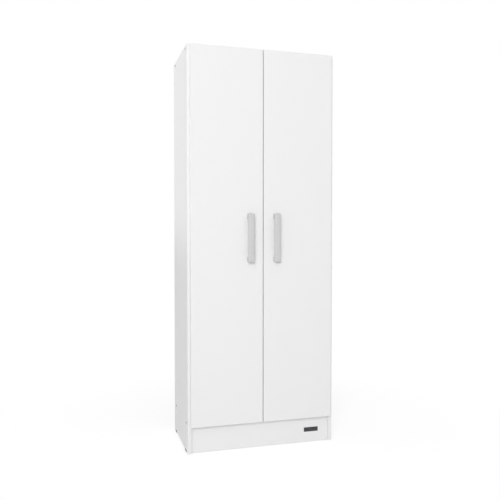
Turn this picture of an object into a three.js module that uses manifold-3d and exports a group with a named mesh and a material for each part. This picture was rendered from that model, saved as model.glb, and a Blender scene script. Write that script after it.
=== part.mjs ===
// A two-door broom cupboard of white melamine-faced boards, in millimetres.
// X runs across the front, Y from the front to the back, and Z up.
// The origin is on the floor, in the middle of the cupboard's whole width and depth.
import * as THREE from "three";
import { mergeVertices } from "three/addons/utils/BufferGeometryUtils.js";
import Module from "manifold-3d";

const wasm = await Module();
wasm.setup();

// Cabinet
const cabinetWidth = 600;
const panelHeight = 1575;
const panelDepth = 321;
const boardThickness = 15;
const plinthHeight = 107;
const plinthClearance = 2;
const plinthRecess = 12;
const topPanelDrop = 4.5;
const backThickness = 3;
const backInset = 2;

// Doors
const doorThickness = 15;
const doorStandOff = 1.5;
const doorSideReveal = 10.5;
const doorBottomDrop = 0.5;
const meetingGap = 3;
const doorEdgeSoftening = 0.8;

// Bow handles
const handleLength = 192.5;
const handleWidth = 25;
const handleProjection = 25;
const handleInset = 52;
const handleZ = 840;
const handleHoleSpacing = 160;
const handlePostLength = 21;
const handleCornerRadius = 6;
const handleEndRadius = 9;
const handleCrown = 3.5;
const fingerDepth = 16;
const fingerGapRadius = 6;

// Handle screws
const handleScrewRadius = 2;
const handleScrewLength = 25;
const handleScrewHeadRadius = 4;
const handleScrewHeadHeight = 2.2;
const handleScrewCrownRadius = 2;
const handleScrewShoulderHeight = 1.1;

// Concealed hinges: cup in the door
const hingeEndDistance = 100;
const cupRadius = 17.5;
const cupDepth = 11;
const cupWall = 0.9;
const cupEdgeDistance = 4;
const flangeThickness = 1;
const flangeOverhang = 1.5;
const earSpacing = 45;
const earRadius = 5.5;
const earHoleRadius = 1.8;

// Concealed hinges: arm and mounting plate on the side panel
const plateThickness = 2;
const plateHoleSetback = 37;
const plateHoleSpacing = 32;
const plateHoleRadius = 2.3;
const plateWingRadius = 6.5;
const plateRailLength = 38;
const armHeight = 10.5;
const armWidth = 16;
const armWall = 1.4;
const armLength = 52;
const armFrontSetback = 6;
const armSeat = 0.5;
const armEndRadius = 5;
const noseWidth = 9;
const noseRadius = 3;
const noseOverlap = 6;
const pinRadius = 1.5;
const pinDrop = 2;
const pinDepth = 1;

// Concealed hinges: gooseneck link between arm and cup
const linkReach = 19;
const linkFall = 6.5;
const linkRise = 3.5;
const linkThickness = 2.4;
const linkCheek = 1.5;
const linkEyeRadius = 3;
const linkTipRadius = 2;
const linkPocketRadius = 4.6;

// Shelves and their pins
const holePitch = 32;
const shelfHoleNumbers = [10, 20, 32];
const spareHoleOffsets = [-1, 0, 1];
const shelfThickness = 15;
const shelfFrontSetback = 20;
const shelfBackClearance = 1;
const shelfEndClearance = 1;
const pinRowInset = 50;
const pinShankRadius = 2.5;
const pinShankLength = 8;
const pinHeadRadius = 3.5;
const pinHeadLength = 8;
const pinFlatHeight = 2;

// Assembly screws through the side panels
const screwFrontInset = 35;
const screwBackInset = 43;
const screwLength = 50;
const screwHeadRadius = 5;
const screwHeadHeight = 2;
const screwNeckRadius = 3.5;
const screwThreadRadius = 2.75;
const screwConeHeight = 1.5;
const screwTipLength = 3;
const socketRadius = 2.3;
const socketDepth = 2.5;
const socketSides = 6;

// Dowels glued into the divider and the plinth
const dowelRadius = 4;
const dowelReach = 10;
const dowelChamfer = 1;
const dividerDowelInset = 70;
const plinthDowelInset = 28;

// Nail-on glides let into the side panels' bottom edges
const glideHeight = 5;
const glideSeatDepth = 3;
const glideLength = 30;
const glideChamfer = 1;
const glideNailRadius = 1.2;
const glideNailLength = 14;
const glideFrontInset = 47;
const glideBackInset = 34;

// Clearances and facets
const seatClearance = 0.3;
const runningClearance = 0.35;
const cutOverrun = 1;
const weldDistance = 1e-4;
const pinHoleSegments = 8;
const smallRoundSegments = 10;
const roundSegments = 12;
const cupSegments = 20;
const cornerSegments = 4;
const crownSegments = 10;
const linkSegments = 7;

// Places across the cupboard
const halfWidth = cabinetWidth / 2;
const innerX = halfWidth - boardThickness;
const dividerX = boardThickness / 2;
const doorOuterX = halfWidth - doorSideReveal;
const doorInnerX = meetingGap / 2;
const handleX = doorInnerX + handleInset;

// Places from front to back
const wholeDepth =
  handleProjection + doorThickness + doorStandOff + panelDepth + backThickness;
const handleFrontY = -wholeDepth / 2;
const doorFrontY = handleFrontY + handleProjection;
const doorBackY = doorFrontY + doorThickness;
const carcassFrontY = doorBackY + doorStandOff;
const carcassBackY = carcassFrontY + panelDepth;
const backY = carcassBackY + backThickness;
const plinthFrontY = carcassFrontY + plinthRecess;
const shelfFrontY = carcassFrontY + shelfFrontSetback;
const shelfBackY = carcassBackY - shelfBackClearance;
const screwRowsY = {
  front: carcassFrontY + screwFrontInset,
  back: carcassBackY - screwBackInset,
};
const glideRowsY = {
  front: carcassFrontY + glideFrontInset,
  back: carcassBackY - glideBackInset,
};
const pinRowsY = {
  front: shelfFrontY + pinRowInset,
  back: shelfBackY - pinRowInset,
};
const dividerDowelsY = [
  carcassFrontY + dividerDowelInset,
  carcassBackY - dividerDowelInset,
];

// Places up the cupboard. Hinges and shelves share the names of their levels.
const levels = ["low", "middle", "high"];
const panelBottomZ = glideHeight;
const panelTopZ = panelBottomZ + panelHeight;
const glideTopZ = panelBottomZ + glideSeatDepth;
const bottomUnderZ = plinthClearance + plinthHeight;
const bottomTopZ = bottomUnderZ + boardThickness;
const topTopZ = panelTopZ - topPanelDrop;
const topUnderZ = topTopZ - boardThickness;
const doorBottomZ = bottomUnderZ - doorBottomDrop;
const doorTopZ = topTopZ;
const handleHolesZ = {
  bottom: handleZ - handleHoleSpacing / 2,
  top: handleZ + handleHoleSpacing / 2,
};
const screwRowsZ = {
  bottom: bottomUnderZ + boardThickness / 2,
  top: topUnderZ + boardThickness / 2,
};
const plinthDowelsZ = [
  plinthClearance + plinthDowelInset,
  bottomUnderZ - plinthDowelInset,
];
const hingeSpan = doorTopZ - doorBottomZ - 2 * hingeEndDistance;
const hingesZ = levels.map(
  (_, i) => doorBottomZ + hingeEndDistance + (hingeSpan * i) / (levels.length - 1),
);

// The hinges are laid out from the left door's outer edge, on its back face:
// first number inward along X, second number back into the cabinet along Y.
const overlay = boardThickness - doorSideReveal;
const cupCentreU = cupEdgeDistance + cupRadius;
const plateTopU = overlay + plateThickness;
const armTopU = plateTopU + armHeight;
const pinU = armTopU - pinDrop;
const pinV = -pinDepth;
const plateHoleV = doorStandOff + plateHoleSetback;
const armFrontV = doorStandOff + armFrontSetback;
const armBackV = armFrontV + armLength;

// Materials
function finish(color, roughness, metalness) {
  return new THREE.MeshStandardMaterial({ color, roughness, metalness });
}
const melamine = finish(0xf2f2f1, 0.5, 0);
const hardboard = finish(0xd9d4cb, 0.7, 0);
const satinSilver = finish(0xc4c5c8, 0.35, 0.2);
const zincPlate = finish(0xb9bcc2, 0.3, 1);
const steel = finish(0xa9abaf, 0.35, 1);
const blackPlastic = finish(0x1d1d1f, 0.5, 0);
const clearPlastic = finish(0xe6e6e4, 0.4, 0);

// Solids: closed geometries joined and cut as manifolds
function solidOf(geometry) {
  const bare = geometry.index ? geometry.toNonIndexed() : geometry.clone();
  bare.deleteAttribute("normal");
  bare.deleteAttribute("uv");
  const merged = mergeVertices(bare, weldDistance);
  return new wasm.Manifold(
    new wasm.Mesh({
      numProp: 3,
      vertProperties: merged.getAttribute("position").array,
      triVerts: new Uint32Array(merged.index.array),
    }),
  );
}

function geometryOf(solid) {
  const mesh = solid.getMesh();
  const geometry = new THREE.BufferGeometry();
  const position = new THREE.BufferAttribute(mesh.vertProperties, mesh.numProp);
  geometry.setAttribute("position", position);
  geometry.setIndex(new THREE.BufferAttribute(mesh.triVerts, 1));
  geometry.computeVertexNormals();
  return geometry;
}

function joined(first, ...others) {
  return others.reduce((whole, other) => whole.add(solidOf(other)), solidOf(first));
}

function cut(solid, tools) {
  return tools.reduce((left, tool) => left.subtract(solidOf(tool)), solid);
}

function mirrored(geometry) {
  const other = geometry.clone().scale(-1, 1, 1);
  const index = other.index.array;
  for (let i = 0; i < index.length; i += 3) {
    const second = index[i + 1];
    index[i + 1] = index[i + 2];
    index[i + 2] = second;
  }
  return other;
}

function moved(geometry, x, y, z) {
  return geometry.clone().translate(x, y, z);
}

// Turns a shape's own x, y and depth, or a profile's, onto the cupboard's axes.
const unitX = new THREE.Vector3(1, 0, 0);
const unitY = new THREE.Vector3(0, 1, 0);
const unitZ = new THREE.Vector3(0, 0, 1);
const depthAlong = {
  x: new THREE.Matrix4().makeBasis(unitY, unitZ, unitX),
  y: new THREE.Matrix4().makeBasis(unitZ, unitX, unitY),
  z: new THREE.Matrix4(),
};
const turnedAbout = {
  x: new THREE.Matrix4().makeBasis(unitZ, unitX, unitY),
  y: new THREE.Matrix4(),
  z: new THREE.Matrix4().makeBasis(unitY, unitZ, unitX),
};

// A box between two corners.
function block(low, high) {
  const geometry = new THREE.BoxGeometry(1, 1, 1);
  const position = geometry.getAttribute("position");
  for (let i = 0; i < position.count; i += 1) {
    position.setXYZ(
      i,
      position.getX(i) < 0 ? low[0] : high[0],
      position.getY(i) < 0 ? low[1] : high[1],
      position.getZ(i) < 0 ? low[2] : high[2],
    );
  }
  return geometry;
}

// A shape drawn across one axis and drawn out along it. Across x it is drawn in Y and Z,
// across y in Z and X, and across z in X and Y.
function prism(shape, axis, from, to, curveSegments = cornerSegments) {
  const geometry = new THREE.ExtrudeGeometry(shape, {
    depth: to - from,
    bevelEnabled: false,
    curveSegments,
  });
  const position = geometry.getAttribute("position");
  const middle = (to - from) / 2;
  for (let i = 0; i < position.count; i += 1) {
    position.setZ(i, position.getZ(i) < middle ? from : to);
  }
  return geometry.applyMatrix4(depthAlong[axis]);
}

// A profile of [radius, place along the axis] pairs, in rising order, turned about the axis.
function turned(profile, axis, segments) {
  const points = profile.map(([radius, along]) => new THREE.Vector2(radius, along));
  return new THREE.LatheGeometry(points, segments).applyMatrix4(turnedAbout[axis]);
}

function rod(radius, axis, from, to, segments = smallRoundSegments) {
  return turned([[0, from], [radius, from], [radius, to], [0, to]], axis, segments);
}

// A straight bar with round ends between two points of the drawing plane.
function roundEndedBar(ax, ay, bx, by, radius) {
  const turn = Math.atan2(by - ay, bx - ax);
  const quarter = Math.PI / 2;
  const shape = new THREE.Shape();
  shape.absarc(bx, by, radius, turn - quarter, turn + quarter, false);
  shape.absarc(ax, ay, radius, turn + quarter, turn + 3 * quarter, false);
  shape.closePath();
  return shape;
}

function roundedRectangle(x0, y0, x1, y1, radius) {
  const quarter = Math.PI / 2;
  const shape = new THREE.Shape();
  shape.absarc(x1 - radius, y1 - radius, radius, 0, quarter, false);
  shape.absarc(x0 + radius, y1 - radius, radius, quarter, 2 * quarter, false);
  shape.absarc(x0 + radius, y0 + radius, radius, 2 * quarter, 3 * quarter, false);
  shape.absarc(x1 - radius, y0 + radius, radius, 3 * quarter, 4 * quarter, false);
  shape.closePath();
  return shape;
}

function chamferedRectangle(x0, y0, x1, y1, chamfer) {
  return new THREE.Shape([
    new THREE.Vector2(x0 + chamfer, y0),
    new THREE.Vector2(x1 - chamfer, y0),
    new THREE.Vector2(x1, y0 + chamfer),
    new THREE.Vector2(x1, y1 - chamfer),
    new THREE.Vector2(x1 - chamfer, y1),
    new THREE.Vector2(x0 + chamfer, y1),
    new THREE.Vector2(x0, y1 - chamfer),
    new THREE.Vector2(x0, y0 + chamfer),
  ]);
}

// The exported group and what fills it
const cupboard = new THREE.Group();
cupboard.name = "broom_cupboard";

function addMesh(parent, name, geometry, material, x = 0, y = 0, z = 0) {
  const mesh = new THREE.Mesh(geometry, material);
  mesh.name = name;
  mesh.position.set(x, y, z);
  parent.add(mesh);
  return mesh;
}

function addGroup(name) {
  const group = new THREE.Group();
  group.name = name;
  cupboard.add(group);
  return group;
}

// Assembly screw: a countersunk screw with a hexagon socket, its head flush with the left side
// panel's outer face, its tip inward. With a clearance it is the hole that the screw sits in.
function assemblyScrewProfile(clearance) {
  const headX = -halfWidth;
  const coneX = headX + screwHeadHeight + clearance;
  const neckX = coneX + screwConeHeight;
  const threadX = -innerX;
  const tipX = headX + screwLength;
  return [
    [0, clearance ? headX - cutOverrun : headX],
    [screwHeadRadius + clearance, clearance ? headX - cutOverrun : headX],
    [screwHeadRadius + clearance, coneX],
    [screwNeckRadius + clearance, neckX],
    [screwNeckRadius + clearance, threadX],
    [screwThreadRadius + clearance, threadX + clearance],
    [screwThreadRadius + clearance, tipX - screwTipLength + clearance],
    [0, tipX + clearance],
  ];
}

function assemblyScrew() {
  const body = turned(assemblyScrewProfile(0), "x", smallRoundSegments);
  const socket = turned(
    [
      [0, -halfWidth - cutOverrun],
      [socketRadius, -halfWidth - cutOverrun],
      [socketRadius, -halfWidth + socketDepth],
      [0, -halfWidth + socketDepth],
    ],
    "x",
    socketSides,
  );
  return geometryOf(cut(solidOf(body), [socket]));
}

const screwHole = turned(assemblyScrewProfile(seatClearance), "x", smallRoundSegments);
const leftScrewHoles = Object.values(screwRowsY).flatMap((y) =>
  Object.values(screwRowsZ).map((z) => moved(screwHole, 0, y, z)),
);
const rightScrewHoles = leftScrewHoles.map(mirrored);

// Dowel: a chamfered peg along one axis, and the blind hole that it sits in.
function dowel(axis, root, end) {
  const outward = Math.sign(end - root);
  const shoulder = end - outward * dowelChamfer;
  const profile = [
    [0, root],
    [dowelRadius, root],
    [dowelRadius, shoulder],
    [dowelRadius - dowelChamfer, end],
    [0, end],
  ];
  return turned(outward > 0 ? profile : profile.reverse(), axis, smallRoundSegments);
}

function dowelHole(axis, mouth, end) {
  const outward = Math.sign(end - mouth);
  const near = mouth - outward * cutOverrun;
  const far = end + outward * seatClearance;
  const from = Math.min(near, far);
  const to = Math.max(near, far);
  return rod(dowelRadius + seatClearance, axis, from, to);
}

// Hole rows for the shelf pins, in the divider's right face and the right panel's inner face
const shelfLevelsZ = shelfHoleNumbers.map((number) => bottomTopZ + number * holePitch);
const pinHolesZ = shelfLevelsZ.flatMap((z) =>
  spareHoleOffsets.map((offset) => z - pinFlatHeight + offset * holePitch),
);

function pinHoles(mouth, outward) {
  const near = mouth - outward * cutOverrun;
  const far = mouth + outward * (pinShankLength + seatClearance);
  const hole = rod(
    pinShankRadius + seatClearance,
    "x",
    Math.min(near, far),
    Math.max(near, far),
    pinHoleSegments,
  );
  return Object.values(pinRowsY).flatMap((y) => pinHolesZ.map((z) => moved(hole, 0, y, z)));
}

// Carcass: sides, top, bottom, divider, plinth and back
const glideNailHole = rod(
  glideNailRadius + seatClearance,
  "z",
  panelBottomZ,
  glideTopZ + glideNailLength + seatClearance,
);
const glideHousing = block(
  [-boardThickness / 2 - cutOverrun, -glideLength / 2 - seatClearance, panelBottomZ - cutOverrun],
  [boardThickness / 2 + cutOverrun, glideLength / 2 + seatClearance, glideTopZ],
);
const leftGlideHoles = Object.values(glideRowsY).flatMap((y) =>
  [glideNailHole, glideHousing].map((tool) =>
    moved(tool, -halfWidth + boardThickness / 2, y, 0),
  ),
);
const leftPlinthDowelHoles = plinthDowelsZ.map((z) =>
  moved(dowelHole("x", -innerX, -innerX - dowelReach), 0, plinthFrontY + boardThickness / 2, z),
);

function sidePanel() {
  return block([-halfWidth, carcassFrontY, panelBottomZ], [-innerX, carcassBackY, panelTopZ]);
}

const leftPanel = cut(solidOf(sidePanel()), [
  ...leftScrewHoles,
  ...leftGlideHoles,
  ...leftPlinthDowelHoles,
]);
const rightPanelPlain = solidOf(mirrored(geometryOf(leftPanel)));
const rightPanel = cut(rightPanelPlain, pinHoles(innerX, 1));

const dividerDowelHolesBelow = dividerDowelsY.map((y) =>
  moved(dowelHole("z", bottomTopZ, bottomTopZ - dowelReach), 0, y, 0),
);
const dividerDowelHolesAbove = dividerDowelsY.map((y) =>
  moved(dowelHole("z", topUnderZ, topUnderZ + dowelReach), 0, y, 0),
);
const crossScrewHoles = [...leftScrewHoles, ...rightScrewHoles];
const bottomPanel = cut(
  solidOf(block([-innerX, carcassFrontY, bottomUnderZ], [innerX, carcassBackY, bottomTopZ])),
  [...crossScrewHoles, ...dividerDowelHolesBelow],
);
const topPanel = cut(
  solidOf(block([-innerX, carcassFrontY, topUnderZ], [innerX, carcassBackY, topTopZ])),
  [...crossScrewHoles, ...dividerDowelHolesAbove],
);

const dividerDowels = dividerDowelsY.flatMap((y) => [
  moved(dowel("z", bottomTopZ + dowelReach, bottomTopZ - dowelReach + seatClearance), 0, y, 0),
  moved(dowel("z", topUnderZ - dowelReach, topUnderZ + dowelReach - seatClearance), 0, y, 0),
]);
const divider = cut(
  joined(
    block([-dividerX, carcassFrontY, bottomTopZ], [dividerX, carcassBackY, topUnderZ]),
    ...dividerDowels,
  ),
  pinHoles(dividerX, -1),
);

const plinthDowels = plinthDowelsZ.flatMap((z) =>
  [-1, 1].map((side) =>
    moved(
      dowel("x", side * (innerX - dowelReach), side * (innerX + dowelReach - seatClearance)),
      0,
      plinthFrontY + boardThickness / 2,
      z,
    ),
  ),
);
const plinth = joined(
  block(
    [-innerX, plinthFrontY, plinthClearance],
    [innerX, plinthFrontY + boardThickness, bottomUnderZ],
  ),
  ...plinthDowels,
);

const carcass = addGroup("carcass");
addMesh(carcass, "side_panel_left", geometryOf(leftPanel), melamine);
addMesh(carcass, "side_panel_right", geometryOf(rightPanel), melamine);
addMesh(carcass, "top_panel", geometryOf(topPanel), melamine);
addMesh(carcass, "bottom_panel", geometryOf(bottomPanel), melamine);
addMesh(carcass, "divider", geometryOf(divider), melamine);
addMesh(carcass, "plinth", geometryOf(plinth), melamine);
addMesh(
  carcass,
  "back_sheet",
  block(
    [-halfWidth + backInset, carcassBackY, bottomUnderZ + backInset],
    [halfWidth - backInset, backY, topTopZ - backInset],
  ),
  hardboard,
);

// Assembly screws in the side panels
const leftScrew = assemblyScrew();
const screwsBySide = { left: leftScrew, right: mirrored(leftScrew) };
for (const [side, geometry] of Object.entries(screwsBySide)) {
  for (const [level, z] of Object.entries(screwRowsZ)) {
    for (const [row, y] of Object.entries(screwRowsY)) {
      addMesh(carcass, `assembly_screw_${side}_${level}_${row}`, geometry, steel, 0, y, z);
    }
  }
}

// Glides: a block, chamfered round its sole, with a nail up into the side panel
function glideOutline(half) {
  return [
    [-half, glideTopZ],
    [-half, glideChamfer],
    [-half + glideChamfer, 0],
    [half - glideChamfer, 0],
    [half, glideChamfer],
    [half, glideTopZ],
  ];
}

function nailedGlide() {
  const halfThickness = boardThickness / 2;
  const halfLength = glideLength / 2;
  const sideView = new THREE.Shape(
    glideOutline(halfLength).map(([y, z]) => new THREE.Vector2(y, z)),
  );
  const endView = new THREE.Shape(
    glideOutline(halfThickness).map(([x, z]) => new THREE.Vector2(z, x)),
  );
  const along = prism(sideView, "x", -halfThickness, halfThickness);
  const across = prism(endView, "y", -halfLength, halfLength);
  const nail = turned(
    [
      [0, panelBottomZ],
      [glideNailRadius, panelBottomZ],
      [glideNailRadius, glideTopZ + glideNailLength - glideNailRadius],
      [0, glideTopZ + glideNailLength],
    ],
    "z",
    smallRoundSegments,
  );
  return geometryOf(solidOf(along).intersect(solidOf(across)).add(solidOf(nail)));
}

const glide = nailedGlide();
for (const [side, sign] of Object.entries({ left: -1, right: 1 })) {
  for (const [row, y] of Object.entries(glideRowsY)) {
    const x = sign * (halfWidth - boardThickness / 2);
    addMesh(carcass, `glide_${side}_${row}`, glide, blackPlastic, x, y, 0);
  }
}

// Shelf pins: a peg with a stout head, flat on top where the shelf lies. Its shank points to -X.
function shelfPin() {
  const body = turned(
    [
      [0, -pinShankLength],
      [pinShankRadius, -pinShankLength],
      [pinShankRadius, 0],
      [pinHeadRadius, 0],
      [pinHeadRadius, pinHeadLength],
      [0, pinHeadLength],
    ],
    "x",
    smallRoundSegments,
  );
  const above = block(
    [0, -pinHeadRadius - cutOverrun, pinFlatHeight],
    [pinHeadLength + cutOverrun, pinHeadRadius + cutOverrun, pinHeadRadius + cutOverrun],
  );
  return moved(geometryOf(cut(solidOf(body), [above])), 0, 0, -pinFlatHeight);
}

// Adjustable shelves of the right-hand bay
const interior = addGroup("interior");
const shelf = block(
  [dividerX + shelfEndClearance, shelfFrontY, 0],
  [innerX - shelfEndClearance, shelfBackY, shelfThickness],
);
const pinIntoDivider = shelfPin();
const pinIntoSide = mirrored(pinIntoDivider);
levels.forEach((level, i) => {
  const z = shelfLevelsZ[i];
  addMesh(interior, `shelf_${level}`, shelf, melamine, 0, 0, z);
  for (const [row, y] of Object.entries(pinRowsY)) {
    addMesh(interior, `shelf_pin_${level}_inner_${row}`, pinIntoDivider, clearPlastic, dividerX, y, z);
    addMesh(interior, `shelf_pin_${level}_outer_${row}`, pinIntoSide, clearPlastic, innerX, y, z);
  }
});

// Left door, with a bore for each hinge cup and holes for the handle's screws
function doorBoard() {
  const plan = chamferedRectangle(
    -doorOuterX,
    doorFrontY,
    -doorInnerX,
    doorBackY,
    doorEdgeSoftening,
  );
  const section = chamferedRectangle(
    doorFrontY,
    doorBottomZ,
    doorBackY,
    doorTopZ,
    doorEdgeSoftening,
  );
  const upright = solidOf(prism(plan, "z", doorBottomZ, doorTopZ));
  const across = solidOf(prism(section, "x", -doorOuterX, -doorInnerX));
  return upright.intersect(across);
}

const cupX = -doorOuterX + cupCentreU;
const cupBore = rod(
  cupRadius + seatClearance,
  "y",
  doorBackY - cupDepth - seatClearance,
  doorBackY + cutOverrun,
  cupSegments,
);
const handleScrewBore = rod(
  handleScrewRadius + seatClearance,
  "y",
  doorFrontY - cutOverrun,
  doorBackY + cutOverrun,
);
const doorHoles = [
  ...hingesZ.map((z) => moved(cupBore, cupX, 0, z)),
  ...Object.values(handleHolesZ).map((z) => moved(handleScrewBore, -handleX, 0, z)),
];
const leftDoor = geometryOf(cut(doorBoard(), doorHoles));

// Left bow handle: its side view, its front view and its crowned section, all in one solid
function handleSideView() {
  const quarter = Math.PI / 2;
  const half = handleLength / 2;
  const inner = half - handlePostLength;
  const gapY = doorFrontY - fingerDepth;
  const endY = handleFrontY + handleEndRadius;
  const filletY = gapY + fingerGapRadius;
  const shape = new THREE.Shape();
  shape.moveTo(doorFrontY, handleZ - half);
  shape.lineTo(doorFrontY, handleZ - inner);
  shape.lineTo(filletY, handleZ - inner);
  shape.absarc(
    filletY,
    handleZ - inner + fingerGapRadius,
    fingerGapRadius,
    -quarter,
    -2 * quarter,
    true,
  );
  shape.absarc(filletY, handleZ + inner - fingerGapRadius, fingerGapRadius, 2 * quarter, quarter, true);
  shape.lineTo(doorFrontY, handleZ + inner);
  shape.lineTo(doorFrontY, handleZ + half);
  shape.absarc(endY, handleZ + half - handleEndRadius, handleEndRadius, quarter, 2 * quarter, false);
  shape.absarc(endY, handleZ - half + handleEndRadius, handleEndRadius, 2 * quarter, 3 * quarter, false);
  shape.closePath();
  return shape;
}

function handleSection() {
  const half = handleWidth / 2;
  const crownRadius = (half * half + handleCrown * handleCrown) / (2 * handleCrown);
  const reach = Math.asin(half / crownRadius);
  const down = -Math.PI / 2;
  const shape = new THREE.Shape();
  shape.moveTo(-handleX - half, doorFrontY + cutOverrun);
  shape.absarc(-handleX, handleFrontY + crownRadius, crownRadius, down - reach, down + reach, false);
  shape.lineTo(-handleX + half, doorFrontY + cutOverrun);
  shape.closePath();
  return shape;
}

const handleLow = handleZ - handleLength / 2;
const handleHigh = handleZ + handleLength / 2;
const handleSides = prism(
  handleSideView(),
  "x",
  -handleX - handleWidth / 2,
  -handleX + handleWidth / 2,
);
const handleFront = prism(
  roundedRectangle(
    handleLow,
    -handleX - handleWidth / 2,
    handleHigh,
    -handleX + handleWidth / 2,
    handleCornerRadius,
  ),
  "y",
  handleFrontY - cutOverrun,
  doorFrontY + cutOverrun,
);
const handleCrowned = prism(
  handleSection(),
  "z",
  handleLow - cutOverrun,
  handleHigh + cutOverrun,
  crownSegments,
);
const screwReach = handleScrewLength - doorThickness;
const handlePilot = rod(
  handleScrewRadius + seatClearance,
  "y",
  doorFrontY - screwReach - seatClearance,
  doorFrontY + cutOverrun,
);
const handleBody = solidOf(handleSides)
  .intersect(solidOf(handleFront))
  .intersect(solidOf(handleCrowned));
const leftHandle = geometryOf(
  cut(
    handleBody,
    Object.values(handleHolesZ).map((z) => moved(handlePilot, -handleX, 0, z)),
  ),
);

// Handle screw: a pan head against the door's back face
const handleScrew = turned(
  [
    [0, doorFrontY - screwReach],
    [handleScrewRadius, doorFrontY - screwReach],
    [handleScrewRadius, doorBackY],
    [handleScrewHeadRadius, doorBackY],
    [handleScrewHeadRadius, doorBackY + handleScrewShoulderHeight],
    [handleScrewCrownRadius, doorBackY + handleScrewHeadHeight],
    [0, doorBackY + handleScrewHeadHeight],
  ],
  "y",
  smallRoundSegments,
);

// Hinge cup: a pressed pot with a flange and two screw ears on the door's back face
function hingeCup() {
  const flangeTop = doorBackY + flangeThickness;
  const pot = rod(cupRadius, "y", doorBackY - cupDepth, flangeTop, cupSegments);
  const rim = rod(cupRadius + flangeOverhang, "y", doorBackY, flangeTop, cupSegments);
  const ears = prism(
    roundEndedBar(-earSpacing / 2, 0, earSpacing / 2, 0, earRadius),
    "y",
    doorBackY,
    flangeTop,
  );
  const hollow = rod(
    cupRadius - cupWall,
    "y",
    doorBackY - cupDepth + cupWall,
    flangeTop + cutOverrun,
    cupSegments,
  );
  const earHole = rod(
    earHoleRadius,
    "y",
    doorBackY - cutOverrun,
    flangeTop + cutOverrun,
  );
  const earHoles = [-1, 1].map((end) => moved(earHole, 0, 0, (end * earSpacing) / 2));
  return moved(geometryOf(cut(joined(pot, rim, ears), [hollow, ...earHoles])), cupX, 0, 0);
}

// Hinge arm: a channel on a winged plate, with a nose and a riveted pin that reach into the cup
function hingeArm() {
  const halfArm = armWidth / 2;
  const channel = prism(
    new THREE.Shape([
      new THREE.Vector2(plateTopU - armSeat, armFrontV),
      new THREE.Vector2(armTopU, armFrontV),
      new THREE.Vector2(armTopU, armBackV - armEndRadius),
      new THREE.Vector2(armTopU - armEndRadius, armBackV),
      new THREE.Vector2(plateTopU - armSeat, armBackV),
    ]),
    "z",
    -halfArm,
    halfArm,
  );
  const inside = block(
    [plateTopU - armSeat - cutOverrun, armFrontV + armWall, -halfArm + armWall],
    [armTopU - armWall, armBackV + cutOverrun, halfArm - armWall],
  );
  const nose = prism(
    roundEndedBar(pinU, pinV, pinU, armFrontV + noseOverlap, noseRadius),
    "z",
    -noseWidth / 2,
    noseWidth / 2,
  );
  const noseTrim = block(
    [armTopU, armFrontV + armWall, -noseWidth],
    [armTopU + noseRadius, armFrontV + noseOverlap + noseRadius + cutOverrun, noseWidth],
  );
  const halfPin = noseWidth / 2 + runningClearance + linkCheek;
  const pin = moved(rod(pinRadius, "z", -halfPin, halfPin), pinU, pinV, 0);
  const wings = prism(
    roundEndedBar(plateHoleV, -plateHoleSpacing / 2, plateHoleV, plateHoleSpacing / 2, plateWingRadius),
    "x",
    overlay,
    plateTopU,
  );
  const rail = block(
    [overlay, plateHoleV - plateRailLength / 2, -halfArm],
    [plateTopU, plateHoleV + plateRailLength / 2, halfArm],
  );
  const plateHole = rod(plateHoleRadius, "x", overlay - cutOverrun, plateTopU + cutOverrun);
  const plateHoles = [-1, 1].map((end) =>
    moved(plateHole, 0, plateHoleV, (end * plateHoleSpacing) / 2),
  );
  const arm = cut(solidOf(channel), [inside]);
  const trimmedNose = cut(solidOf(nose), [noseTrim]);
  const plate = cut(joined(wings, rail), plateHoles);
  const whole = arm.add(trimmedNose).add(solidOf(pin)).add(plate);
  return moved(geometryOf(whole), -doorOuterX, doorBackY, 0);
}

// Hinge link: an arched strip with two cheeks on the arm's pin, its other end in the cup
function hingeLink() {
  const halfLink = noseWidth / 2 + runningClearance + linkCheek;
  const reach = Math.hypot(linkReach, linkFall) / 2;
  const archRadius = (reach * reach + linkRise * linkRise) / (2 * linkRise);
  const tilt = Math.atan2(-linkFall, linkReach);
  const sweep = Math.asin(reach / archRadius);
  const middleU = pinU + linkReach / 2;
  const middleV = pinV - linkFall / 2;
  const drop = archRadius - linkRise;
  const centreU = middleU + drop * Math.sin(tilt);
  const centreV = middleV - drop * Math.cos(tilt);
  const crest = Math.PI / 2 + tilt;
  const strip = new THREE.Shape();
  strip.absarc(
    centreU,
    centreV,
    archRadius + linkThickness / 2,
    crest + sweep,
    crest - sweep,
    true,
  );
  strip.absarc(
    centreU,
    centreV,
    archRadius - linkThickness / 2,
    crest - sweep,
    crest + sweep,
    false,
  );
  strip.closePath();
  const band = prism(strip, "z", -halfLink, halfLink, linkSegments);
  const eye = moved(rod(linkEyeRadius, "z", -halfLink, halfLink), pinU, pinV, 0);
  const tip = moved(
    rod(linkTipRadius, "z", -halfLink, halfLink),
    pinU + linkReach,
    pinV - linkFall,
    0,
  );
  const pocket = moved(
    rod(
      linkPocketRadius,
      "z",
      -noseWidth / 2 - runningClearance,
      noseWidth / 2 + runningClearance,
      roundSegments,
    ),
    pinU,
    pinV,
    0,
  );
  const pinBore = moved(
    rod(pinRadius + runningClearance, "z", -halfLink - cutOverrun, halfLink + cutOverrun),
    pinU,
    pinV,
    0,
  );
  const whole = cut(joined(band, eye, tip), [pocket, pinBore]);
  return moved(geometryOf(whole), -doorOuterX, doorBackY, 0);
}

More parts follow.
